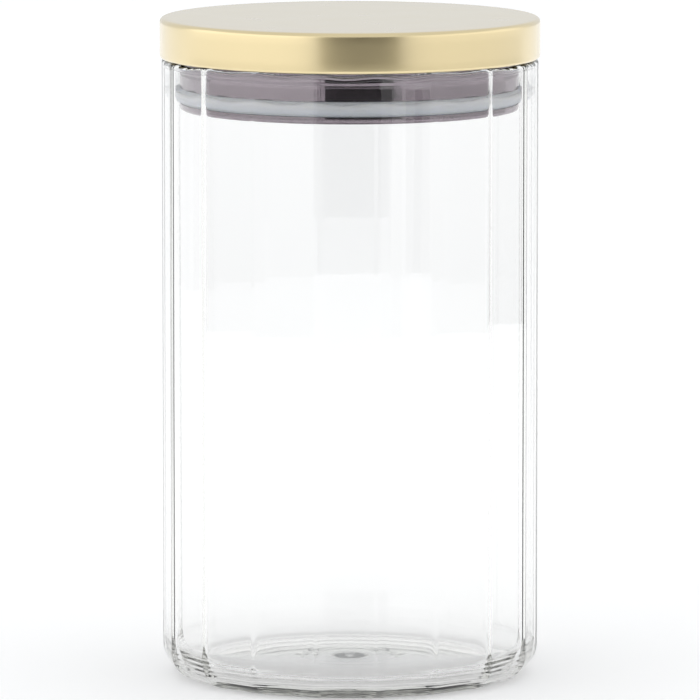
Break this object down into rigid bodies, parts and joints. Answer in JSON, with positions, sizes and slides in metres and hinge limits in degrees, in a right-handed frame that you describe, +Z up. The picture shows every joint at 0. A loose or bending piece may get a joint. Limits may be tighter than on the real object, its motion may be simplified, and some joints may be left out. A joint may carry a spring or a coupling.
{
  "type": "lidded glass canister",
  "caption": "Clear glass storage jar with flat vertical panels and a push-in metal lid sealed by a silicone ring.",
  "frame": {"origin": "centre of the foot, on the surface the jar stands on", "axes": "+Z up along the jar's axis, with a rib of the glass facing -Y"},
  "size_m": [0.1034, 0.1034, 0.18],
  "materials": {
    "glass": "clear blown glass with fire-polished edges",
    "brushed_brass": "satin, brushed and lacquered",
    "core_plastic": "as moulded",
    "plug_metal": "smooth drawn sheet",
    "silicone": "translucent and slightly matt"
  },
  "bodies": {
    "jar": {"glass_jar": "glass"},
    "seal": {"seal_ring": "silicone"},
    "lid": {"lid_cap": "brushed_brass", "lid_core": "core_plastic", "plug_cup": "plug_metal"}
  },
  "joints": [
    {"name": "lid_lift", "type": "slide", "parent": "jar", "child": "seal", "axis": [0, 0, 1], "range_m": [0, 0.06]},
    {"name": "lid_turn", "type": "hinge", "parent": "seal", "child": "lid", "pos_m": [0, 0, 0.16], "axis": [0, 0, 1], "continuous": true}
  ]
}
